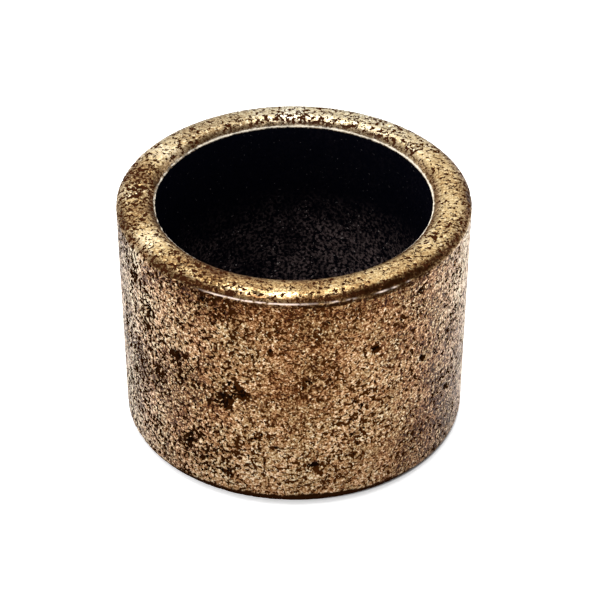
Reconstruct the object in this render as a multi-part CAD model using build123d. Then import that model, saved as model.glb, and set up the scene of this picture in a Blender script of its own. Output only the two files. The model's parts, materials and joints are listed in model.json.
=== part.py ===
from build123d import *
import os

# Plain sleeve bushing, pressed and sintered from bronze powder in one piece.
# Millimetres, +Z along the bore, origin at the middle of the bottom end face.

# Driving dimensions
bore_diameter = 14.0    # running fit on the shaft
wall_thickness = 2.0    # makes the outer wall 18 mm across, a press fit in the housing
length = 13.0           # from end face to end face
outer_chamfer = 0.35    # lead-in round the outer wall at both ends, leg at 45 degrees
bore_chamfer = 0.40     # lead-in round the bore at both ends, leg at 45 degrees
face_edge_round = 0.90  # wide soft roll-over where an end face turns into a chamfer
wall_edge_round = 0.12  # small round where a chamfer meets the outer wall or the bore

bore_radius = bore_diameter / 2
outer_radius = bore_radius + wall_thickness


def corners_at_radius(sketch, radius):
    """The corners of the section that lie at one distance from the bore axis."""
    return sketch.vertices().filter_by(lambda corner: abs(corner.X - radius) < 1e-6)


def corners_on_end_faces(sketch):
    """The corners of the section that lie on the top or the bottom end face."""
    return sketch.vertices().filter_by(
        lambda corner: min(abs(corner.Z), abs(corner.Z - length)) < 1e-6
    )


def wall_section():
    """One side of the sleeve cut through its axis: a bar with chamfers and soft edges."""
    with BuildSketch(Plane.XZ) as section:
        with Locations((bore_radius, 0)):
            Rectangle(wall_thickness, length, align=(Align.MIN, Align.MIN))
        chamfer(section.vertices().sort_by(Axis.X)[-2:], outer_chamfer)
        chamfer(section.vertices().sort_by(Axis.X)[:2], bore_chamfer)
        wall_corners = corners_at_radius(section.sketch, outer_radius)
        wall_corners += corners_at_radius(section.sketch, bore_radius)
        fillet(wall_corners, wall_edge_round)
        fillet(corners_on_end_faces(section.sketch), face_edge_round)
    return section.sketch


def make_bushing():
    """The whole bushing: the section turned once round the bore axis."""
    return revolve(wall_section(), Axis.Z)


os.makedirs("parts", exist_ok=True)
export_step(make_bushing(), "parts/bushing.step")
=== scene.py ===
import json
import math
from collections import namedtuple

import bpy
import numpy as np
from mathutils import Matrix, Vector


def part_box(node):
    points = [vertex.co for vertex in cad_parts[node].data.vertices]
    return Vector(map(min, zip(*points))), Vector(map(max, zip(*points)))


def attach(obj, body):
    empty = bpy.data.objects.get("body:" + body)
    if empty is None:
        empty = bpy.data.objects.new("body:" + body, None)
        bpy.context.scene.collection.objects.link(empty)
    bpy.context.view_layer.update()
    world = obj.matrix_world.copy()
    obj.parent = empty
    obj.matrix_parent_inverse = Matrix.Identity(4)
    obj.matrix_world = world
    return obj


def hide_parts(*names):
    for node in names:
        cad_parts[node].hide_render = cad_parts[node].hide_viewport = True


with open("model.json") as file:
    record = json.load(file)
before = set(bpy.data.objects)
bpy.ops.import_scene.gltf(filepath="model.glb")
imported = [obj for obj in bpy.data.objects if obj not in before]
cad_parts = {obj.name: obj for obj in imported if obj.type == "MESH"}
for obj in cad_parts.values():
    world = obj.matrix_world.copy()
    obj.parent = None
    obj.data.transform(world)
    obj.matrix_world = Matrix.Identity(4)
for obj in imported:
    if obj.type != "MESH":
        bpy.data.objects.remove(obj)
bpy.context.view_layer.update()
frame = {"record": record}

# Sizes of the sleeve in millimetres, from the frame and its mounts
MM = 0.001
LOW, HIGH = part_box("bushing")
MOUNTS = {mount["name"]: mount for mount in frame["record"]["mounts"]}
LENGTH = (HIGH.z - LOW.z) / MM
HALF_LENGTH = LENGTH / 2
OUTER_RADIUS = min(HIGH.x, HIGH.y, -LOW.x, -LOW.y) / MM
BORE_RADIUS = MOUNTS["bore"]["dims"]["r_mm"]
OUTER_CHAMFER = 0.35
BORE_CHAMFER = 0.40
FACE_EDGE_ROUND = 0.90
WALL_EDGE_ROUND = 0.12

# Mesh density
COLUMNS = 480
WALL_ROWS = 116
BORE_ROWS = 26
FACE_ROWS = 6
FACE_ROUND_ROWS = 8
WALL_ROUND_ROWS = 3

# Heights of the strips of the UV layout and the gap between them, as shares of the square
WALL_STRIP = 0.350
TOP_STRIP = 0.065
BOTTOM_STRIP = 0.040
BORE_STRIP = 0.100
UV_MARGIN = 0.004

# Depths pressed into the surface, in millimetres
PIT_DEPTH = 0.12
PORE_DEPTH = 0.03
UNEVEN_DEPTH = 0.03

# Torn patches and single large pits on the outer wall: degrees round the axis from the front,
# height and width in millimetres, and how much they crowd the pores
WALL_PATCHES = (
    (-15.5, 6.9, 0.34, 1.30),
    (-18.5, 7.2, 0.36, 1.40),
    (-20.0, 6.5, 0.30, 0.80),
    (-23.0, 6.4, 0.38, 1.45),
    (-26.5, 6.1, 0.32, 1.00),
    (-21.5, 5.9, 0.26, 0.90),
    (-35.5, 3.1, 0.44, 1.05),
    (-37.5, 2.5, 0.36, 0.75),
    (-41.0, 7.9, 0.36, 0.95),
    (-38.8, 7.3, 0.30, 0.85),
    (-39.2, 6.5, 0.36, 0.90),
    (-48.0, 6.2, 0.46, 0.85),
    (-32.0, 6.7, 0.40, 0.55),
    (-53.0, 9.6, 0.40, 0.70),
    (-62.0, 11.0, 0.40, 0.75),
    (-21.5, 1.6, 0.38, 0.70),
    (-11.5, 4.4, 0.34, 0.50),
    (3.0, 7.9, 0.34, 0.65),
    (26.3, 9.35, 0.24, 1.80),
    (26.3, 6.9, 0.26, 0.90),
    (43.0, 11.7, 0.26, 1.10),
    (45.0, 7.4, 0.20, 1.60),
    (60.0, 4.1, 0.24, 1.10),
    (56.0, 1.7, 0.34, 0.70),
    (6.7, 2.6, 0.20, 1.60),
    (12.0, 4.6, 0.20, 0.90),
)
# The same on the upper end face, with the distance from the axis for the height
FACE_PATCHES = (
    (-92.0, 8.1, 0.55, 0.55),
    (-86.0, 7.9, 0.45, 0.45),
    (-70.0, 8.3, 0.50, 0.30),
    (72.0, 8.1, 0.40, 0.50),
)

# Broad zones of darker or paler metal, laid out in the same way: the last number shifts the tone. They are
# partly the metal's own tone and partly painted shade and light: on the wall darker low on the right and
# paler high on the right, and on the end face a painted highlight on the rounded outer edge in front, at
# 8.65 mm from the axis
WALL_TONE_AND_SHADING_ZONES = (
    (-40.0, 6.2, 2.4, -0.16),
    (-66.0, 6.0, 2.0, -0.21),
    (-45.0, 2.5, 2.5, -0.06),
    (-30.0, 12.2, 1.0, 0.06),
    (52.0, 2.5, 3.0, -0.27),
    (70.0, 1.8, 1.4, -0.10),
    (58.0, 6.0, 2.5, -0.17),
    (48.0, 10.0, 2.2, -0.14),
    (70.0, 10.5, 1.8, 0.47),
    (-52.0, 9.5, 2.4, 0.14),
    (-36.0, 11.0, 1.6, 0.05),
    (-18.0, 10.5, 1.8, 0.10),
    (36.0, 7.0, 2.0, -0.03),
    (-35.0, 6.5, 3.0, -0.04),
    (-68.0, 1.8, 2.2, 0.02),
    (69.0, 6.5, 2.0, 0.07),
    (18.0, 10.0, 3.0, -0.03),
    (0.0, 1.8, 4.5, 0.08),
    (0.0, 7.0, 2.2, -0.18),
    (37.0, 10.8, 1.6, 0.03),
    (20.0, 7.0, 2.0, 0.08),
    (-20.0, 4.5, 3.0, 0.04),
    (24.0, 4.5, 2.0, 0.05),
    (-20.0, 2.0, 2.0, 0.05),
)
FACE_TONE_AND_SHADING_ZONES = (
    (-120.0, 8.0, 2.3, -0.14),
    (-90.0, 8.0, 2.3, -0.66),
    (-60.0, 8.0, 2.3, -0.25),
    (-30.0, 8.0, 2.2, -0.58),
    (0.0, 8.0, 2.2, -0.44),
    (30.0, 8.0, 2.2, -0.24),
    (60.0, 8.0, 2.0, -0.11),
    (90.0, 8.0, 2.3, -0.08),
    (120.0, 8.0, 2.3, 0.05),
    (150.0, 8.0, 2.3, 0.15),
    (-150.0, 8.0, 2.3, -0.19),
    (180.0, 8.0, 2.3, 0.07),
    (-120.0, 7.4, 0.9, 0.56),
    (-90.0, 7.4, 0.8, 0.50),
    (-60.0, 7.4, 0.8, 0.44),
    (30.0, 7.4, 0.8, 0.30),
    (180.0, 7.4, 1.0, 0.36),
    (60.0, 7.4, 0.9, 0.38),
    (85.0, 7.4, 1.1, 0.18),
    (120.0, 7.4, 0.9, 0.24),
    (-120.0, 8.8, 0.9, 0.34),
    (-90.0, 8.8, 1.1, 0.86),
    (-60.0, 8.8, 1.1, 0.74),
    (-35.0, 8.65, 0.7, 0.38),
    (-20.0, 8.65, 0.8, 0.38),
    (-4.0, 8.65, 0.9, 0.46),
    (12.0, 8.65, 0.8, 0.24),
    (30.0, 8.60, 0.6, 0.22),
    (90.0, 8.8, 0.9, -0.24),
    (115.0, 8.8, 0.9, -0.24),
)
# Painted shade and light along the outer chamfers, darkest at the front right and palest at the front left:
# degrees, width in degrees and shift of the tone
CHAMFER_SHADING_ZONES = (
    (32.0, 20.0, -0.55),
    (80.0, 30.0, -0.16),
    (-12.0, 20.0, 0.46),
    (-40.0, 14.0, 0.04),
)

# How much of the end faces dark specks cover: the mean, what the bore's chamfer adds at the back,
# and stretches of more or fewer specks as degrees, width in degrees and change
SPECKS_MEAN = 0.36
BACK_SPECKS = 0.54
FACE_SPECKS = (
    (0.0, 26.0, -0.28),
    (62.0, 14.0, 0.30),
    (92.0, 18.0, 0.12),
    (-105.0, 24.0, 0.30),
    (-88.0, 9.0, 0.25),
    (-32.0, 14.0, 0.12),
    (130.0, 26.0, 0.30),
    (180.0, 26.0, 0.28),
)
# A dark line of painted shade on the wall just under the upper edge: degrees, width in degrees and strength
RIM_LINE_SHADE = (
    (8.0, 14.0, 0.9),
    (32.0, 16.0, 0.8),
    (-14.0, 9.0, 0.6),
)
# Painted shade, black on the upper outer chamfer itself, laid out in the same way
CHAMFER_BAND_SHADE = (
    (23.0, 8.0, 0.65),
    (34.0, 8.0, 0.80),
    (45.0, 6.0, 0.60),
)
# How high the painted contact shadow, a black line at the foot of the wall, climbs above the chamfer, in
# millimetres: the mean, and stretches as degrees, width in degrees and change
FOOT_LINE_SHADE_MEAN = -0.02
FOOT_LINE_SHADE = (
    (8.0, 32.0, 0.33),
    (-25.0, 18.0, 0.09),
    (-34.0, 13.0, 0.10),
)
# Stretches of the upper outer edge with a painted highlight: degrees, width in degrees and strength
EDGE_GLINTS = (
    (-23.5, 4.5, 1.0),
    (-15.0, 6.0, 1.0),
    (-3.0, 8.0, 1.1),
    (13.0, 1.6, 0.8),
    (17.5, 1.2, 0.7),
    (27.8, 1.5, 1.1),
    (32.2, 0.8, 0.9),
    (37.5, 0.6, 0.5),
)
# Stretches where the painted highlight on the upper edge of the bore is broken up, laid out in the same way
BORE_EDGE_GAPS = (
    (-115.0, 22.0, 0.75),
    (-75.0, 24.0, 0.70),
)

# How closely the pores stand, from 0 to 1: the mean, the swing round the axis and its densest side,
# and what the chamfers, the end faces and the two flanks add
CROWDING_MEAN = 0.47
CROWDING_SWING = 0.20
CROWDING_SIDE = math.radians(-55)
CHAMFER_CROWDING = 0.26
FACE_CROWDING = -0.15
FLANK_CROWDING = 0.14

# Where the fields above apply, in millimetres: an end face reaches to a depth and fades over a
# width, and a chamfer has a middle out from the bore or in from the wall, a width and a depth
FACE_DEPTH = 0.45
FACE_FADE = 0.30
BORE_CHAMFER_BAND = (0.30, 0.30, 0.5)
OUTER_CHAMFER_BAND = (0.20, 0.25, 0.3)
# The back half comes in with the depth behind the axis as a share of the outer radius
BACK_SLOPE = 1.5
BACK_START = 0.5
# Fades, each as the ends of a range and the values there: the outer chamfer towards the left of
# the back in millimetres, and the flanks as the distance from the middle in outer radii
LEFT_BACK_FADE = ((3.0, 9.0), (1.0, 0.3))
FLANK_FADE = ((0.6, 0.9), (0.0, 1.0))
# How far the tone swings between grains: towards the flanks, more at the far left, less on a face
FLANK_SWING = ((0.40, 0.60, 0.80, 1.0), (1.05, 1.22, 1.60, 1.85))
LEFT_SWING = ((0.80, 0.95), (0.0, 0.50))
FACE_SWING = 0.2


# Mesh of the sleeve

def arc(centre, radius, start, end, rows):
    """Points on an arc of the section, angles in degrees from the radial direction."""
    turns = np.radians(np.linspace(start, end, rows + 1))
    across, up = centre
    return [(across + radius * math.cos(turn), up + radius * math.sin(turn)) for turn in turns]


def end_profile():
    """The top end of the section from the outer wall to the bore, as (radius, height) points."""
    tangent = math.tan(math.radians(22.5))
    face_out = OUTER_RADIUS - OUTER_CHAMFER - tangent * FACE_EDGE_ROUND
    face_in = BORE_RADIUS + BORE_CHAMFER + tangent * FACE_EDGE_ROUND
    face_round_height = LENGTH - FACE_EDGE_ROUND
    wall_corner = (OUTER_RADIUS - WALL_EDGE_ROUND, LENGTH - OUTER_CHAMFER - tangent * WALL_EDGE_ROUND)
    bore_corner = (BORE_RADIUS + WALL_EDGE_ROUND, LENGTH - BORE_CHAMFER - tangent * WALL_EDGE_ROUND)
    points = arc(wall_corner, WALL_EDGE_ROUND, 0, 45, WALL_ROUND_ROWS)
    points += arc((face_out, face_round_height), FACE_EDGE_ROUND, 45, 90, FACE_ROUND_ROWS)
    points += [(radius, LENGTH) for radius in np.linspace(face_out, face_in, FACE_ROWS + 1)[1:-1]]
    points += arc((face_in, face_round_height), FACE_EDGE_ROUND, 90, 135, FACE_ROUND_ROWS)
    points += arc(bore_corner, WALL_EDGE_ROUND, 135, 180, WALL_ROUND_ROWS)
    return points


def section_profile():
    """The closed section, and the rows where its top, bore, bottom and wall stretches start."""
    top = end_profile()
    bottom = [(radius, LENGTH - height) for radius, height in reversed(top)]
    down = np.linspace(top[-1][1], bottom[0][1], BORE_ROWS + 1)[1:-1]
    up = np.linspace(bottom[-1][1], top[0][1], WALL_ROWS + 1)[1:-1]
    bore = [(BORE_RADIUS, height) for height in down]
    wall = [(OUTER_RADIUS, height) for height in up]
    stretches = [top, bore, bottom, wall]
    starts = np.cumsum([0] + [len(stretch) for stretch in stretches])
    return np.array([point for stretch in stretches for point in stretch]), starts


def on_sleeve(angle, radius, height):
    """A place in millimetres from degrees round the axis, counted from the front to the right."""
    turn = math.radians(angle)
    return np.array([radius * math.sin(turn), -radius * math.cos(turn), height])


def patch_sum(places, wall_patches, face_patches):
    """The sum at each place of soft round patches on the outer wall and on the upper end face."""
    patches = [(on_sleeve(angle, OUTER_RADIUS, height), *size) for angle, height, *size in wall_patches]
    patches += [(on_sleeve(angle, radius, LENGTH), *size) for angle, radius, *size in face_patches]
    total = np.zeros(len(places))
    for centre, width, force in patches:
        gap = np.linalg.norm(places - centre, axis=1)
        total += force * np.exp(-((gap / width) ** 2))
    return total


def arc_sum(around, stretches):
    """The sum at each angle of soft stretches along a ring."""
    total = np.zeros(len(around))
    for angle, width, force in stretches:
        gap = (np.degrees(around) - angle + 180) % 360 - 180
        total += force * np.exp(-((gap / width) ** 2))
    return total


def chamfer_fields(places, radius, depth):
    """How far each place lies on the back half of a bore chamfer and on an outer chamfer."""
    inset, width, reach = BORE_CHAMFER_BAND
    back = np.clip(BACK_SLOPE * places[:, 1] / OUTER_RADIUS - BACK_START, 0.0, 1.0)
    on_bore_chamfer = np.exp(-(((radius - BORE_RADIUS - inset) / width) ** 2)) * (depth < reach) * back
    inset, width, reach = OUTER_CHAMFER_BAND
    on_chamfer = np.exp(-(((radius - OUTER_RADIUS + inset) / width) ** 2)) * (depth < reach)
    return on_bore_chamfer, on_chamfer


def swing_field(places, on_face):
    """How far the tone swings between grains at each place."""
    flank = np.abs(places[:, 0]) / OUTER_RADIUS
    swing = np.interp(flank, *FLANK_SWING)
    swing += np.interp(-places[:, 0] / OUTER_RADIUS, *LEFT_SWING)
    return np.where(on_face > 0, 1.0 + (swing - 1.0) * FACE_SWING, swing)


def surface_fields(places):
    """The fields that each place carries: the crowding of the pores, the shift of the tone with its painted
    shade and light, the swing of the tone, the specks on the end faces, the painted highlights on the edges
    and the gaps in them, and the three lines of painted shade."""
    around = np.arctan2(places[:, 0], -places[:, 1])
    radius = np.hypot(places[:, 0], places[:, 1])
    depth = np.minimum(places[:, 2], LENGTH - places[:, 2])
    upper = places[:, 2] > HALF_LENGTH
    on_face = np.clip((FACE_DEPTH - depth) / FACE_FADE, 0.0, 1.0)
    on_bore_chamfer, on_chamfer = chamfer_fields(places, radius, depth)
    worn_side = np.interp(places[:, 1] - places[:, 0], *LEFT_BACK_FADE)
    flank = np.abs(places[:, 0]) / OUTER_RADIUS
    crowding = CROWDING_MEAN + CROWDING_SWING * np.cos(around - CROWDING_SIDE)
    crowding += patch_sum(places, WALL_PATCHES, FACE_PATCHES)
    crowding += CHAMFER_CROWDING * np.maximum(on_bore_chamfer, on_chamfer * worn_side)
    crowding += FACE_CROWDING * on_face
    crowding += FLANK_CROWDING * np.interp(flank, *FLANK_FADE) * (1 - on_face)
    # The shift of the tone carries painted shade and light as well as the metal's own tone
    shift = patch_sum(places, WALL_TONE_AND_SHADING_ZONES, FACE_TONE_AND_SHADING_ZONES) + on_chamfer * arc_sum(around, CHAMFER_SHADING_ZONES)
    return {
        "crowding": crowding,
        "tone_and_shading_shift": shift,
        "tone_swing": swing_field(places, on_face),
        "face_specks": SPECKS_MEAN + arc_sum(around, FACE_SPECKS) + BACK_SPECKS * on_bore_chamfer,
        "edge_glint": arc_sum(around, EDGE_GLINTS) * upper,
        "bore_edge_gaps": arc_sum(around, BORE_EDGE_GAPS) * upper,
        "rim_line_shade": arc_sum(around, RIM_LINE_SHADE) * upper,
        "chamfer_band_shade": arc_sum(around, CHAMFER_BAND_SHADE) * upper,
        "foot_line_shade": FOOT_LINE_SHADE_MEAN + arc_sum(around, FOOT_LINE_SHADE),
    }


def unwrap(mesh, profile, starts):
    """Lays the whole surface out in the UV square, in level strips that don't overlap."""
    rows = len(profile)
    steps = np.linalg.norm(np.roll(profile, -1, axis=0) - profile, axis=1)
    along = np.concatenate([[0.0], np.cumsum(steps)])
    top = (0, starts[1] - 1)
    bore = (starts[1] - 1, starts[2])
    bottom = (starts[2], starts[3] - 1)
    wall = (starts[3] - 1, rows)
    front = 3 * COLUMNS // 4
    back = COLUMNS // 4
    half = COLUMNS // 2
    strips = (
        (wall, front, half, WALL_STRIP),
        (wall, back, half, WALL_STRIP),
        (top, front, half, TOP_STRIP),
        (top, back, half, TOP_STRIP),
        (bottom, front, COLUMNS, BOTTOM_STRIP),
        (bore, front, COLUMNS, BORE_STRIP),
    )
    uv = np.zeros((COLUMNS, rows, 4, 2), np.float32)
    base = UV_MARGIN
    for (first, last), start, width, height in strips:
        across = UV_MARGIN + (1 - 2 * UV_MARGIN) * np.arange(width + 1) / width
        level = base + height * (along[first:last + 1] - along[first]) / (along[last] - along[first])
        columns = (start + np.arange(width)) % COLUMNS
        for corner, (right, below) in enumerate(((0, 0), (1, 0), (1, 1), (0, 1))):
            uv[columns, first:last, corner, 0] = across[right:right + width, None]
            uv[columns, first:last, corner, 1] = level[None, below:below + last - first]
        base += height + UV_MARGIN
    mesh.uv_layers.new(name="OFBake").data.foreach_set("uv", uv.ravel())


def sleeve_places(profile):
    """The points of the mesh in millimetres, column by column from the front round to the right."""
    turns = np.arange(COLUMNS) * (2 * math.pi / COLUMNS)
    x = np.outer(np.sin(turns), profile[:, 0])
    y = np.outer(-np.cos(turns), profile[:, 0])
    z = np.broadcast_to(profile[:, 1], x.shape)
    return np.stack([x, y, z], -1).reshape(-1, 3)


def sleeve_faces(rows):
    """The four corners of each face, as numbers of points."""
    column, row = np.meshgrid(np.arange(COLUMNS), np.arange(rows), indexing="ij")
    right = (column + 1) % COLUMNS
    below = (row + 1) % rows
    corners = [column * rows + row, right * rows + row, right * rows + below, column * rows + below]
    return np.stack(corners, -1).reshape(-1, 4)


def make_sleeve():
    """The sleeve as one closed mesh: the section turned round the bore axis."""
    profile, starts = section_profile()
    places = sleeve_places(profile)
    faces = sleeve_faces(len(profile))
    mesh = bpy.data.meshes.new("bushing_sleeve")
    mesh.from_pydata((places * MM).tolist(), [], faces.tolist())
    mesh.polygons.foreach_set("use_smooth", np.ones(len(faces), bool))
    rest = mesh.attributes.new("rest_mm", "FLOAT_VECTOR", "POINT")
    rest.data.foreach_set("vector", places.astype(np.float32).ravel())
    for name, values in surface_fields(places).items():
        attribute = mesh.attributes.new(name, "FLOAT", "POINT")
        attribute.data.foreach_set("value", values.astype(np.float32))
    unwrap(mesh, profile, starts)
    mesh.update()
    sleeve = bpy.data.objects.new("bushing_sleeve", mesh)
    bpy.context.scene.collection.objects.link(sleeve)
    return sleeve


# Node helpers

def node(tree, kind, inputs=None, **settings):
    """One node with its settings and its inputs, each a value or a socket to link."""
    made = tree.nodes.new(kind)
    for name, value in settings.items():
        setattr(made, name, value)
    for name, value in (inputs or {}).items():
        if isinstance(value, bpy.types.NodeSocket):
            tree.links.new(value, made.inputs[name])
        else:
            made.inputs[name].default_value = value
    return made


def math_node(tree, operation, *values):
    """The result of one operation on numbers."""
    made = node(tree, "ShaderNodeMath", dict(enumerate(values)), operation=operation)
    return made.outputs[0]


def times(tree, first, *others):
    """Several numbers multiplied."""
    for other in others:
        first = math_node(tree, "MULTIPLY", first, other)
    return first


def vector_node(tree, operation, *values, output="Vector"):
    """The result of one operation on vectors."""
    made = node(tree, "ShaderNodeVectorMath", dict(enumerate(values)), operation=operation)
    return made.outputs[output]


def ramp(tree, value, low, high, to_low=0.0, to_high=1.0, smooth=True):
    """A value carried from one range to another, clamped."""
    ends = {"Value": value, "From Min": low, "From Max": high, "To Min": to_low, "To Max": to_high}
    kind = "SMOOTHSTEP" if smooth else "LINEAR"
    return node(tree, "ShaderNodeMapRange", ends, interpolation_type=kind).outputs["Result"]


def noise(tree, place, kind):
    """Fractal noise from 0 to 1, of one of the kinds listed below."""
    size, detail, roughness, shift = kind
    moved = vector_node(tree, "ADD", place, shift)
    settings = {"Vector": moved, "Scale": 1 / size, "Detail": detail, "Roughness": roughness}
    return node(tree, "ShaderNodeTexNoise", settings).outputs[0]


def mix(tree, share, first, second):
    """A colour between two colours."""
    made = node(tree, "ShaderNodeMix", {0: share, 6: first, 7: second}, data_type="RGBA")
    return made.outputs[2]


def tinted(tree, color, tint):
    """A colour multiplied by a tint."""
    settings = {"data_type": "RGBA", "blend_type": "MULTIPLY"}
    made = node(tree, "ShaderNodeMix", {0: 1.0, 6: color, 7: tint}, **settings)
    return made.outputs[2]


def color_ramp(tree, value, stops):
    """A colour from a value between 0 and 1, through (value, red, green, blue) stops."""
    made = node(tree, "ShaderNodeValToRGB", {0: value})
    elements = made.color_ramp.elements
    for spare in stops[2:]:
        elements.new(spare[0])
    for element, (position, *color) in zip(elements, stops):
        element.position = position
        element.color = (*color, 1.0)
    return made.outputs[0]


def field(tree, name):
    """One of the sleeve's fields, at the shaded place."""
    return node(tree, "ShaderNodeAttribute", attribute_name=name).outputs["Fac"]


def mesh_field(tree, name, kind):
    """One of the sleeve's fields, at each point of the mesh."""
    return node(tree, "GeometryNodeInputNamedAttribute", {"Name": name}, data_type=kind).outputs[0]


# The pore field, the same for the mesh and for the material

# Noises, here and below: width of a feature in millimetres, detail, roughness and shift
CROWD_NOISE = (2.4, 3.0, 0.6, (31.0, 7.0, 5.0))
PORE_NOISE = (0.205, 2.0, 0.55, (0.0, 0.0, 0.0))
PIT_NOISE = (0.38, 3.0, 0.65, (3.0, 17.0, 9.0))
UNEVEN_NOISE = (0.35, 3.0, 0.7, (1.0, 2.0, 3.0))
# How far the crowding drifts from place to place, and how much it raises the edges of the noises
# below which a place lies in a pore or in a pit
CROWD_DRIFT = 1.6
EDGE_RISE = 0.16
PORE_EDGE = 0.350
PIT_EDGE = 0.24
# From the ground into a pore, and from the brow of a pit into it
PORE_WALL = (0.007, -0.008)
PIT_WALL = 0.025


def pore_fields(tree, place, crowding):
    """How far a place lies in a small pore and in a large pit, from 0 to 1, and its height over
    the nearest pore's edge on the scale of the noise."""
    drift = noise(tree, place, CROWD_NOISE)
    start = math_node(tree, "ADD", crowding, -CROWD_DRIFT / 2)
    crowd = math_node(tree, "MULTIPLY_ADD", drift, CROWD_DRIFT, start)
    pore_edge = math_node(tree, "MULTIPLY_ADD", crowd, EDGE_RISE, PORE_EDGE)
    above = math_node(tree, "SUBTRACT", noise(tree, place, PORE_NOISE), pore_edge)
    pores = ramp(tree, above, *PORE_WALL)
    pit_edge = math_node(tree, "MULTIPLY_ADD", crowd, EDGE_RISE, PIT_EDGE)
    pit_floor = math_node(tree, "SUBTRACT", pit_edge, PIT_WALL)
    pits = ramp(tree, noise(tree, place, PIT_NOISE), pit_edge, pit_floor)
    return pores, pits, above


def roughen(sleeve):
    """Presses the pits, the pores and a fine unevenness into the mesh, always inwards."""
    tree = bpy.data.node_groups.new("roughen", "GeometryNodeTree")
    tree.interface.new_socket("Geometry", in_out="INPUT", socket_type="NodeSocketGeometry")
    tree.interface.new_socket("Geometry", in_out="OUTPUT", socket_type="NodeSocketGeometry")
    source = tree.nodes.new("NodeGroupInput")
    target = tree.nodes.new("NodeGroupOutput")
    normal = tree.nodes.new("GeometryNodeInputNormal").outputs[0]
    place = mesh_field(tree, "rest_mm", "FLOAT_VECTOR")
    pores, pits, _ = pore_fields(tree, place, mesh_field(tree, "crowding", "FLOAT"))
    uneven = noise(tree, place, UNEVEN_NOISE)
    depth = math_node(tree, "MULTIPLY", pits, PIT_DEPTH)
    depth = math_node(tree, "MULTIPLY_ADD", pores, PORE_DEPTH, depth)
    depth = math_node(tree, "MULTIPLY_ADD", uneven, UNEVEN_DEPTH, depth)
    inward = math_node(tree, "MULTIPLY", depth, -MM)
    offset = node(tree, "ShaderNodeVectorMath", {0: normal, "Scale": inward}, operation="SCALE").outputs[0]
    moved = node(tree, "GeometryNodeSetPosition", {"Geometry": source.outputs[0], "Offset": offset})
    tree.links.new(moved.outputs[0], target.inputs[0])
    modifier = sleeve.modifiers.new("roughen", "NODES")
    modifier.node_group = tree
    graph = bpy.context.evaluated_depsgraph_get()
    done = bpy.data.meshes.new_from_object(sleeve.evaluated_get(graph))
    sleeve.modifiers.clear()
    sleeve.data = done
    bpy.data.node_groups.remove(tree)


# Material: its colours, each ramp as (tone, red, green, blue) stops

WALL_COLORS = (
    (0.00, 0.014, 0.003, 0.001),
    (0.20, 0.055, 0.015, 0.003),
    (0.40, 0.140, 0.062, 0.023),
    (0.55, 0.232, 0.128, 0.055),
    (0.75, 0.352, 0.230, 0.124),
    (1.00, 0.590, 0.468, 0.340),
)
FACE_COLORS = (
    (0.00, 0.036, 0.010, 0.002),
    (0.20, 0.110, 0.047, 0.014),
    (0.40, 0.240, 0.142, 0.056),
    (0.60, 0.390, 0.274, 0.126),
    (0.80, 0.530, 0.400, 0.215),
    (1.00, 0.720, 0.590, 0.380),
)
# Colours of the painted shade on the chamfers
CHAMFER_SHADE_COLORS = (
    (0.00, 0.012, 0.004, 0.001),
    (0.40, 0.090, 0.030, 0.008),
    (0.65, 0.210, 0.090, 0.030),
    (1.00, 0.480, 0.290, 0.130),
)
OUTER_EDGE_HIGHLIGHT_COLOR = (0.950, 0.760, 0.660, 1.0)
BORE_EDGE_HIGHLIGHT_COLOR = (0.880, 0.800, 0.660, 1.0)
PORE_COLOR = (0.013, 0.004, 0.001, 1.0)
FRONT_PORE_COLOR = (0.034, 0.010, 0.002, 1.0)
FACE_PORE_COLOR = (0.036, 0.011, 0.004, 1.0)
PIT_COLOR = (0.005, 0.002, 0.001, 1.0)
# The near black of the bore is painted shade, and its glints are painted
BORE_SHADE_COLOR = (0.0016, 0.0018, 0.0045, 1.0)
BORE_SPECK_COLOR = (0.150, 0.110, 0.106, 1.0)
BORE_GLINT_COLOR = (0.500, 0.450, 0.430, 1.0)
RED_TINT = (1.05, 0.955, 0.89, 1.0)
OLIVE_TINT = (0.97, 1.02, 0.98, 1.0)
# Tints of a painted sheen on the flanks and on the back of the end face
FLANK_SHEEN_TINT = (0.96, 1.00, 1.02, 1.0)
BACK_FACE_SHEEN_TINT = (0.93, 1.06, 1.34, 1.0)

# Rings round both ends of the sleeve as (radius, height above its middle), and their widths
# The outer edge ring and the bore edge ring carry painted highlights
OUTER_EDGE_RING = (OUTER_RADIUS - 0.03, HALF_LENGTH - OUTER_CHAMFER)
OUTER_EDGE_WIDTH = 0.075
BORE_EDGE_RING = (BORE_RADIUS + 0.04, HALF_LENGTH - BORE_CHAMFER + 0.02)
BORE_EDGE_WIDTHS = (0.06, 0.14)
# Rings of painted shade on the chamfers, and their width
OUTER_SHADE_RING = (OUTER_RADIUS - 0.16, HALF_LENGTH - 0.18)
BORE_SHADE_RING = (BORE_RADIUS + 0.19, HALF_LENGTH - 0.20)
SHADE_WIDTH = 0.34

# Where the end faces and the bore begin, in millimetres
FACE_START = (HALF_LENGTH - 0.55, HALF_LENGTH - 0.15)
BORE_START = (BORE_RADIUS + 0.3, BORE_RADIUS + 0.2)
BORE_MOUTH = (HALF_LENGTH - BORE_CHAMFER, HALF_LENGTH - BORE_CHAMFER - 0.08)

# Noises that break up the painted highlight on the outer edge, widen the painted highlight on the edge of
# the bore and break it into gaps, each with the range over which it takes hold
GLINT_NOISE = (0.55, 2.0, 0.6, (21.0, 4.0, 6.0))
GLINT_BREAKS = (0.36, 0.46)
RAGGED_NOISE = (0.22, 2.0, 0.6, (6.0, 18.0, 2.0))
RAGGED_RANGE = (0.38, 0.62)
GAP_NOISE = (0.26, 2.0, 0.6, (3.0, 11.0, 19.0))
GAP_RANGE = (0.44, 0.52)

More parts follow.
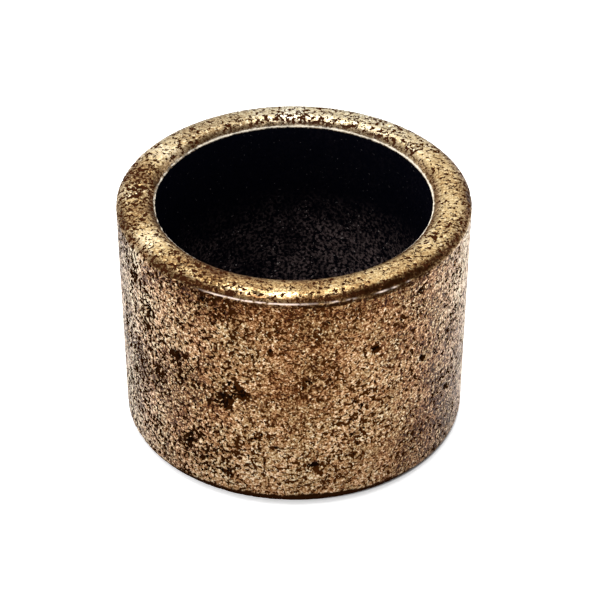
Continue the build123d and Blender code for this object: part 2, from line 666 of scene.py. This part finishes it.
# Streaks that break the painted shade on the outer chamfers everywhere but at the very front, and how the
# painted shade on the chamfers of the bore weakens towards the back
STREAK_NOISE = (0.42, 2.0, 0.6, (13.0, 22.0, 3.0))
STREAK_RANGE = (0.44, 0.58)
STREAK_FADE = (-8.0, -6.0, 1.0, 0.45)
BORE_SHADE_FADE = (1.0, 5.0, 0.70, 0.45)

# Tone of the metal: how much three widths of noise move it, its middle, and by crowding how much
# more or less it swings
FINE_NOISE = (0.10, 1.0, 0.6, (9.0, 1.0, 4.0))
GRAIN_NOISE = (0.21, 2.0, 0.6, (2.0, 8.0, 6.0))
ZONE_NOISE = (1.30, 3.0, 0.6, (5.0, 5.0, 1.0))
FINE_SHARE = 1.3
GRAIN_SHARE = 1.0
ZONE_SHARE = 0.5
TONE_MIDDLE = 0.48
CROWD_FORCE = (0.1, 0.9, 0.85, 1.20)
# Pale crumbs of worn metal, which gather on the lips of the pores
CRUMB_NOISE = (0.13, 1.0, 0.6, (14.0, 3.0, 15.0))
CRUMB_RANGE = (0.58, 0.64, 0.0, 0.30)
LIP_RANGE = (0.060, 0.020)
LIP_CRUMBS = 0.07

# Drift of the hue between the red and the olive tint
BROAD_HUE_NOISE = (1.6, 2.0, 0.6, (4.0, 3.0, 12.0))
SMALL_HUE_NOISE = (0.30, 1.0, 0.5, (8.0, 14.0, 2.0))
SMALL_HUE_SHARE = 0.9
HUE_RANGE = (0.72, 1.18)

# Places in millimetres where the painted sheen on the flanks and on the back of the end face begins, how the
# face's tone follows the wall's, and the stretch of browner pores: its middle and its fade
FLANK_SHEEN_START = (6.6, 8.6)
BACK_FACE_SHEEN_START = (2.0, 8.0)
FACE_TONE_SCALE = 0.72
FACE_TONE_SHIFT = 0.26
BROWN_PORES_MIDDLE = 1.2
BROWN_PORES_FADE = (6.0, 2.5)

# Specks on the end faces: the edge of the noise below which they lie, by their density
SPECK_NOISE = (0.24, 2.0, 0.6, (17.0, 5.0, 3.0))
SPECK_EDGE = 0.32
SPECK_RISE = 0.18
SPECK_WALL = 0.010

# Painted shade: the line under the upper edge and the band on its chamfer, each with its depth under the
# top, its fade and its ragged breaks, and the painted contact shadow at the foot with its raggedness and its
# fade
SHADE_NOISE = (0.5, 3.0, 0.7, (11.0, 2.0, 8.0))
RIM_LINE_DEPTH = OUTER_CHAMFER + 0.16
RIM_LINE_FADE = (0.16, 0.05)
RIM_LINE_BREAKS = (0.38, 0.52)
CHAMFER_BAND_DEPTH = 0.28
CHAMFER_BAND_FADE = (0.25, 0.13)
CHAMFER_BAND_BREAKS = (0.36, 0.50)
FOOT_RAGGED = (0.3, 0.7, 0.7, 1.3)
FOOT_FADE = (-0.06, 0.06)

# The bore: brown specks that painted light shows most low down, on the right and in clouds, and single
# painted glints
BORE_SPECK_NOISE = (0.17, 2.0, 0.6, (7.0, 9.0, 13.0))
BORE_SPECK_RANGE = (0.42, 0.68)
BORE_CLOUD_NOISE = (1.1, 2.0, 0.5, (2.0, 6.0, 11.0))
BORE_CLOUD_RANGE = (0.30, 0.65, 0.3, 1.0)
BORE_LIGHT_LOW_RANGE = (9.0, 4.5, 0.02, 1.25)
BORE_LIGHT_RIGHT_RANGE = (-2.5, 1.5, 0.40, 1.15)
BORE_GLINT_NOISE = (0.15, 1.0, 0.5, (12.0, 2.0, 9.0))
BORE_GLINT_RANGE = (0.71, 0.78)
BORE_GLINT_SHARE = (0.1, 0.6, 0.1, 1.0)

# Shine and fine relief
DARK_ROUGHNESS = 0.8
METAL_ROUGHNESS = (0.52, 0.36)
WALL_FINE_HEIGHT = 0.4
FACE_FINE_HEIGHT = 0.15
BUMP_STRENGTH = 0.55
BUMP_DISTANCE = 0.05 * MM

Spot = namedtuple("Spot", "place across along level radius height section")


def shaded_spot(tree):
    """The shaded place in millimetres, its coordinates, and where it lies on the section."""
    place = node(tree, "ShaderNodeAttribute", attribute_name="rest_mm").outputs["Vector"]
    across, along, level = node(tree, "ShaderNodeSeparateXYZ", {0: place}).outputs
    flat = vector_node(tree, "MULTIPLY", place, (1.0, 1.0, 0.0))
    radius = vector_node(tree, "LENGTH", flat, output="Value")
    height = math_node(tree, "ABSOLUTE", math_node(tree, "SUBTRACT", level, HALF_LENGTH))
    section = node(tree, "ShaderNodeCombineXYZ", {"X": radius, "Y": height}).outputs[0]
    return Spot(place, across, along, level, radius, height, section)


def ring_share(tree, spot, ring, width):
    """1 on a ring round both ends of the sleeve, falling to 0 at width from it."""
    gap = vector_node(tree, "DISTANCE", spot.section, (*ring, 0.0), output="Value")
    return ramp(tree, gap, width, 0.0)


def outer_edge_share(tree, spot):
    """The stretches of the outer edge with a painted highlight."""
    breaks = ramp(tree, noise(tree, spot.place, GLINT_NOISE), *GLINT_BREAKS)
    glint = times(tree, field(tree, "edge_glint"), breaks)
    ring = ring_share(tree, spot, OUTER_EDGE_RING, OUTER_EDGE_WIDTH)
    return times(tree, ring, ramp(tree, glint, 0.0, 1.0, smooth=False))


def bore_edge_share(tree, spot):
    """A painted highlight on the edge of the bore, ragged, and with gaps where it is broken up."""
    ragged = noise(tree, spot.place, RAGGED_NOISE)
    width = ramp(tree, ragged, *RAGGED_RANGE, *BORE_EDGE_WIDTHS)
    gaps = ramp(tree, noise(tree, spot.place, GAP_NOISE), *GAP_RANGE)
    broken = times(tree, field(tree, "bore_edge_gaps"), gaps)
    return times(tree, ring_share(tree, spot, BORE_EDGE_RING, width), math_node(tree, "SUBTRACT", 1.0, broken))


def chamfer_shade_share(tree, spot):
    """Painted shade on the chamfers, streaked outside, and weaker towards the back."""
    streaks = noise(tree, spot.place, STREAK_NOISE)
    streak_share = ramp(tree, spot.along, *STREAK_FADE)
    leftward = math_node(tree, "SUBTRACT", spot.along, spot.across)
    left_back, left_back_shares = LEFT_BACK_FADE
    outer = times(
        tree,
        ring_share(tree, spot, OUTER_SHADE_RING, SHADE_WIDTH),
        ramp(tree, streaks, *STREAK_RANGE, 1.0, streak_share),
        ramp(tree, leftward, *left_back, *left_back_shares),
    )
    bore = ring_share(tree, spot, BORE_SHADE_RING, SHADE_WIDTH)
    bore = times(tree, bore, ramp(tree, spot.along, *BORE_SHADE_FADE))
    return math_node(tree, "MAXIMUM", outer, bore)


def bore_share(tree, spot):
    """How far a place belongs to the straight wall of the bore."""
    return times(tree, ramp(tree, spot.radius, *BORE_START), ramp(tree, spot.height, *BORE_MOUTH))


def metal_tone(tree, spot, fine, crowding, above):
    """How bright the bare metal is, grain by grain, around 0.5."""
    balance = (FINE_SHARE + GRAIN_SHARE + ZONE_SHARE) / 2
    swing = math_node(tree, "MULTIPLY_ADD", fine, FINE_SHARE, -balance)
    swing = math_node(tree, "MULTIPLY_ADD", noise(tree, spot.place, GRAIN_NOISE), GRAIN_SHARE, swing)
    swing = math_node(tree, "MULTIPLY_ADD", noise(tree, spot.place, ZONE_NOISE), ZONE_SHARE, swing)
    lips = ramp(tree, above, *LIP_RANGE)
    crumbs = math_node(tree, "MULTIPLY_ADD", lips, LIP_CRUMBS, noise(tree, spot.place, CRUMB_NOISE))
    swing = math_node(tree, "ADD", swing, ramp(tree, crumbs, *CRUMB_RANGE))
    force = times(tree, ramp(tree, crowding, *CROWD_FORCE, smooth=False), field(tree, "tone_swing"))
    # The shift of the tone holds painted shade and light as well as the metal's own tone
    middle = math_node(tree, "ADD", field(tree, "tone_and_shading_shift"), TONE_MIDDLE)
    return math_node(tree, "MULTIPLY_ADD", swing, force, middle)


def grain_tint(tree, spot):
    """A faint drift of the metal's hue between red copper and olive brass."""
    broad = noise(tree, spot.place, BROAD_HUE_NOISE)
    small = noise(tree, spot.place, SMALL_HUE_NOISE)
    drift = math_node(tree, "MULTIPLY_ADD", small, SMALL_HUE_SHARE, broad)
    return mix(tree, ramp(tree, drift, *HUE_RANGE), RED_TINT, OLIVE_TINT)


def metal_color(tree, spot, tone, face):
    """The bare metal: redder grains on the wall, gold on the end faces, painted shade on the chamfers, and a
    painted sheen on the flanks and on the back of the end face.
    """
    wall = tinted(tree, color_ramp(tree, tone, WALL_COLORS), grain_tint(tree, spot))
    # A painted sheen on the flanks
    flank = ramp(tree, math_node(tree, "ABSOLUTE", spot.across), *FLANK_SHEEN_START)
    wall = mix(tree, flank, wall, tinted(tree, wall, FLANK_SHEEN_TINT))
    face_tone = math_node(tree, "MULTIPLY_ADD", tone, FACE_TONE_SCALE, FACE_TONE_SHIFT)
    gold = color_ramp(tree, face_tone, FACE_COLORS)
    # A paler painted sheen on the back of the end face
    gold = mix(tree, ramp(tree, spot.along, *BACK_FACE_SHEEN_START), gold, tinted(tree, gold, BACK_FACE_SHEEN_TINT))
    color = mix(tree, face, wall, gold)
    return mix(tree, chamfer_shade_share(tree, spot), color, color_ramp(tree, tone, CHAMFER_SHADE_COLORS))


def open_pores(tree, spot, color, pores, pits, face):
    """The metal's colour with the dark of its pores and pits, browner at the front."""
    beside = math_node(tree, "ABSOLUTE", math_node(tree, "SUBTRACT", spot.across, BROWN_PORES_MIDDLE))
    wall_pores = mix(tree, ramp(tree, beside, *BROWN_PORES_FADE), PORE_COLOR, FRONT_PORE_COLOR)
    color = mix(tree, pores, color, mix(tree, face, wall_pores, FACE_PORE_COLOR))
    return mix(tree, pits, color, mix(tree, face, PIT_COLOR, FACE_PORE_COLOR))


def speck_share(tree, spot, face):
    """Crisp dark specks on the end faces."""
    edge = math_node(tree, "MULTIPLY_ADD", field(tree, "face_specks"), SPECK_RISE, SPECK_EDGE)
    outside = math_node(tree, "ADD", edge, SPECK_WALL)
    inside = math_node(tree, "SUBTRACT", edge, SPECK_WALL)
    return times(tree, ramp(tree, noise(tree, spot.place, SPECK_NOISE), outside, inside), face)


def level_band(tree, spot, depth, fade):
    """1 at a depth under the top of the sleeve, fading above and below it."""
    gap = math_node(tree, "ABSOLUTE", math_node(tree, "SUBTRACT", spot.level, LENGTH - depth))
    return ramp(tree, gap, *fade)


def painted_shade_share(tree, spot):
    """Where painted shade blackens the wall: under the upper edge, on its chamfer, and at the foot as a
    painted contact shadow.
    """
    ragged = noise(tree, spot.place, SHADE_NOISE)
    line = level_band(tree, spot, RIM_LINE_DEPTH, RIM_LINE_FADE)
    line = times(tree, line, field(tree, "rim_line_shade"), ramp(tree, ragged, *RIM_LINE_BREAKS))
    band = level_band(tree, spot, CHAMFER_BAND_DEPTH, CHAMFER_BAND_FADE)
    band = times(tree, band, field(tree, "chamfer_band_shade"), ramp(tree, ragged, *CHAMFER_BAND_BREAKS))
    top = times(tree, field(tree, "foot_line_shade"), ramp(tree, ragged, *FOOT_RAGGED, smooth=False))
    depth = math_node(tree, "SUBTRACT", math_node(tree, "ADD", top, OUTER_CHAMFER), spot.level)
    upper = math_node(tree, "MAXIMUM", line, band)
    return math_node(tree, "MAXIMUM", upper, ramp(tree, depth, *FOOT_FADE))


def bore_color(tree, spot):
    """The bore painted near black as shade, with brown specks that painted light shows most low down on the
    right, and painted glints.
    """
    bore_light = times(
        tree,
        ramp(tree, spot.level, *BORE_LIGHT_LOW_RANGE),
        ramp(tree, noise(tree, spot.place, BORE_CLOUD_NOISE), *BORE_CLOUD_RANGE),
        ramp(tree, spot.across, *BORE_LIGHT_RIGHT_RANGE),
    )
    specks = ramp(tree, noise(tree, spot.place, BORE_SPECK_NOISE), *BORE_SPECK_RANGE)
    color = mix(tree, times(tree, specks, bore_light), BORE_SHADE_COLOR, BORE_SPECK_COLOR)
    glints = ramp(tree, noise(tree, spot.place, BORE_GLINT_NOISE), *BORE_GLINT_RANGE)
    glints = times(tree, glints, ramp(tree, bore_light, *BORE_GLINT_SHARE))
    return mix(tree, glints, color, BORE_GLINT_COLOR)


def link_shine(tree, shader, tone, matt):
    """Metal that shines more where it is bright, and matt in pores, painted shade, the bore and the painted
    edge highlights.
    """
    metal = math_node(tree, "SUBTRACT", 1.0, matt)
    tree.links.new(metal, shader.inputs["Metallic"])
    metal_roughness = ramp(tree, tone, 0.0, 1.0, *METAL_ROUGHNESS)
    roughness = ramp(tree, metal, 0.0, 1.0, DARK_ROUGHNESS, metal_roughness)
    tree.links.new(roughness, shader.inputs["Roughness"])
    shader.inputs["Specular IOR Level"].default_value = 0.0


def link_relief(tree, shader, fine, dark, face):
    """Fine grain, with the pores, specks and painted shade sunk into it."""
    fine_height = times(tree, fine, ramp(tree, face, 0.0, 1.0, WALL_FINE_HEIGHT, FACE_FINE_HEIGHT))
    height = math_node(tree, "MULTIPLY_ADD", dark, -1.0, fine_height)
    inputs = {"Height": height, "Strength": BUMP_STRENGTH, "Distance": BUMP_DISTANCE}
    tree.links.new(node(tree, "ShaderNodeBump", inputs).outputs[0], shader.inputs["Normal"])


def sintered_bronze():
    """Pressed bronze powder: worn grains, dark open pores, painted shade on the chamfers and in the bore,
    and painted highlights on the edges.
    """
    material = bpy.data.materials.new("sintered_bronze")
    material.use_nodes = True
    tree = material.node_tree
    shader = tree.nodes["Principled BSDF"]
    spot = shaded_spot(tree)
    crowding = field(tree, "crowding")
    pores, pits, above = pore_fields(tree, spot.place, crowding)
    fine = noise(tree, spot.place, FINE_NOISE)
    tone = metal_tone(tree, spot, fine, crowding, above)
    face = ramp(tree, spot.height, *FACE_START)
    bore = bore_share(tree, spot)
    specks = speck_share(tree, spot, face)
    painted_shade = painted_shade_share(tree, spot)
    outer_edge = outer_edge_share(tree, spot)
    bore_edge = bore_edge_share(tree, spot)

    color = metal_color(tree, spot, tone, face)
    color = open_pores(tree, spot, color, pores, pits, face)
    color = mix(tree, specks, color, FACE_PORE_COLOR)
    # Painted highlight on the edge of the bore
    color = mix(tree, bore_edge, color, BORE_EDGE_HIGHLIGHT_COLOR)
    # Painted shade under the rim, on its chamfer and at the foot, in the colour of the pores
    color = mix(tree, painted_shade, color, PORE_COLOR)
    # Painted highlight on the outer edge
    color = mix(tree, outer_edge, color, OUTER_EDGE_HIGHLIGHT_COLOR)
    # The bore, with its painted shade, painted light on the specks and painted glints
    color = mix(tree, bore, color, bore_color(tree, spot))
    tree.links.new(color, shader.inputs["Base Color"])

    dark = math_node(tree, "MAXIMUM", pores, pits)
    dark = math_node(tree, "MAXIMUM", dark, specks)
    dark = math_node(tree, "MAXIMUM", dark, painted_shade)
    edges = math_node(tree, "MAXIMUM", outer_edge, bore_edge)
    matt = math_node(tree, "MAXIMUM", dark, math_node(tree, "MAXIMUM", bore, edges))
    link_shine(tree, shader, tone, matt)
    link_relief(tree, shader, fine, dark, face)
    return material


# Floor: its size in metres, its look, and in millimetres the ring from which it glows, in two steps. The
# glow is painted light, and the disc inside the ring, set off to the right, is a painted contact shadow

FLOOR_RADIUS = 0.6
FLOOR_SIDES = 96
FLOOR_COLOR = (0.90, 0.90, 0.90, 1.0)
FLOOR_ROUGHNESS = 0.9
FLOOR_SPECULAR = 0.1
FLOOR_GLOW = 0.66
GLOW_CENTRE = (0.26, 0.10)
GLOW_START = 8.63
GLOW_MOST = 8.74
GLOW_FULL = 9.25
GLOW_MOST_SHARE = 0.85

# Lamps: place and size in metres, and power in watts
FILL_PLACE = (-0.16, 0.08, 0.44)
FILL_SIZE = (0.9, 0.9)
FILL_POWER = 2.4
STRIP_PLACE = (-0.01, 0.09, 0.38)
STRIP_SIZE = (0.13, 0.30)
STRIP_POWER = 1.35

# Surroundings, by direction: how strong each part is, and where it begins and ends. The ring near
# the horizon is higher and brighter in front than behind.
SEEN_WORLD = 1.0
DARK_WORLD = 0.10
FRONT_RANGE = (0.3, -0.5)
RING_TOPS = (0.30, 0.42)
RING_SOFTNESS = 0.12
RING_LIGHTS = (0.35, 1.90)
BACK_PANEL = 1.42
PANEL_BACK = (0.15, 0.45)
PANEL_TOP = (0.90, 0.70)
PANEL_FOOT = (0.08, 0.28)
LEFT_SIDE = 0.30
LEFT_RANGE = (0.0, -0.6)

# Camera: lens and sensor in millimetres, place in metres and turns in radians
FOCAL_LENGTH_MM = 119.46
SENSOR_MM = 36.0
CAMERA_BACK = 83.9439 * MM
CAMERA_UP = 68.3658 * MM
CAMERA_PITCH = 0.6368
CAMERA_YAW = -0.0037
CAMERA_ROLL = 0.0015
CLIP_START = 0.001
CLIP_END = 10.0


def make_floor():
    """A white round floor with a painted glow, which stops in a disc under the foot of the sleeve, set off
    to the right, to paint a contact shadow.
    """
    bpy.ops.mesh.primitive_circle_add(vertices=FLOOR_SIDES, radius=FLOOR_RADIUS, fill_type="NGON")
    floor = bpy.context.object
    floor.name = "floor"
    material = bpy.data.materials.new("white_floor")
    material.use_nodes = True
    tree = material.node_tree
    shader = tree.nodes["Principled BSDF"]
    shader.inputs["Base Color"].default_value = FLOOR_COLOR
    shader.inputs["Roughness"].default_value = FLOOR_ROUGHNESS
    shader.inputs["Specular IOR Level"].default_value = FLOOR_SPECULAR
    shader.inputs["Emission Color"].default_value = FLOOR_COLOR
    place = tree.nodes.new("ShaderNodeTexCoord").outputs["Object"]
    centre = (GLOW_CENTRE[0] * MM, GLOW_CENTRE[1] * MM, 0.0)
    radius = vector_node(tree, "DISTANCE", place, centre, output="Value")
    most = GLOW_MOST_SHARE * FLOOR_GLOW
    rest = (1 - GLOW_MOST_SHARE) * FLOOR_GLOW
    # Painted glow, dark inside the disc as a painted contact shadow
    glow = ramp(tree, radius, GLOW_START * MM, GLOW_MOST * MM, 0.0, most)
    glow = math_node(tree, "ADD", glow, ramp(tree, radius, GLOW_MOST * MM, GLOW_FULL * MM, 0.0, rest))
    tree.links.new(glow, shader.inputs["Emission Strength"])
    floor.data.materials.append(material)


def area_light(name, place, size, power):
    """A rectangular softbox that faces the object."""
    light = bpy.data.lights.new(name, "AREA")
    light.shape = "RECTANGLE"
    light.size, light.size_y = size
    light.energy = power
    lamp = bpy.data.objects.new(name, light)
    lamp.location = place
    lamp.rotation_euler = (-Vector(place)).to_track_quat("-Z", "Y").to_euler()
    lamp.visible_camera = False
    bpy.context.scene.collection.objects.link(lamp)
    return lamp


def make_lights():
    """A wide fill that draws no highlight, and a strip above that draws the one on the rim."""
    fill = area_light("fill", FILL_PLACE, FILL_SIZE, FILL_POWER)
    fill.visible_glossy = False
    area_light("strip", STRIP_PLACE, STRIP_SIZE, STRIP_POWER)


def make_world():
    """A dark studio with a bright ring near the horizon, a pale panel behind and a paler left side."""
    world = bpy.data.worlds.new("studio")
    bpy.context.scene.world = world
    world.use_nodes = True
    tree = world.node_tree
    direction = tree.nodes.new("ShaderNodeTexCoord").outputs["Generated"]
    across, along, up = node(tree, "ShaderNodeSeparateXYZ", {0: direction}).outputs
    ring_top = ramp(tree, along, *FRONT_RANGE, *RING_TOPS)
    ring_edge = math_node(tree, "SUBTRACT", ring_top, RING_SOFTNESS)
    ring = times(tree, ramp(tree, up, ring_top, ring_edge), ramp(tree, along, *FRONT_RANGE, *RING_LIGHTS))
    panel = times(
        tree,
        ramp(tree, along, *PANEL_BACK),
        ramp(tree, up, *PANEL_TOP),
        ramp(tree, up, *PANEL_FOOT),
        BACK_PANEL,
    )
    left = math_node(tree, "ADD", times(tree, ramp(tree, across, *LEFT_RANGE), LEFT_SIDE), DARK_WORLD)
    strength = math_node(tree, "MAXIMUM", math_node(tree, "MAXIMUM", ring, panel), left)
    seen = tree.nodes.new("ShaderNodeLightPath").outputs["Is Camera Ray"]
    strength = ramp(tree, seen, 0.0, 1.0, strength, SEEN_WORLD, smooth=False)
    background = tree.nodes["Background"]
    background.inputs["Color"].default_value = (1.0, 1.0, 1.0, 1.0)
    tree.links.new(strength, background.inputs["Strength"])


def make_camera():
    """A long lens in front, which looks down into the bore."""
    camera = bpy.data.objects.new("camera", bpy.data.cameras.new("camera"))
    camera.data.lens = FOCAL_LENGTH_MM
    camera.data.sensor_width = SENSOR_MM
    camera.data.clip_start = CLIP_START
    camera.data.clip_end = CLIP_END
    camera.location = (0.0, -CAMERA_BACK, CAMERA_UP)
    turn = Matrix.Rotation(CAMERA_YAW, 3, "Z")
    tip = Matrix.Rotation(math.pi / 2 - CAMERA_PITCH, 3, "X")
    roll = Matrix.Rotation(CAMERA_ROLL, 3, "Z")
    camera.rotation_euler = (turn @ tip @ roll).to_euler()
    bpy.context.scene.collection.objects.link(camera)
    bpy.context.scene.camera = camera


sleeve = make_sleeve()
roughen(sleeve)
sleeve.data.materials.append(sintered_bronze())
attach(sleeve, "root")
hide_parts("bushing")
make_floor()
make_lights()
make_world()
make_camera()
bpy.context.scene.view_settings.view_transform = "Standard"
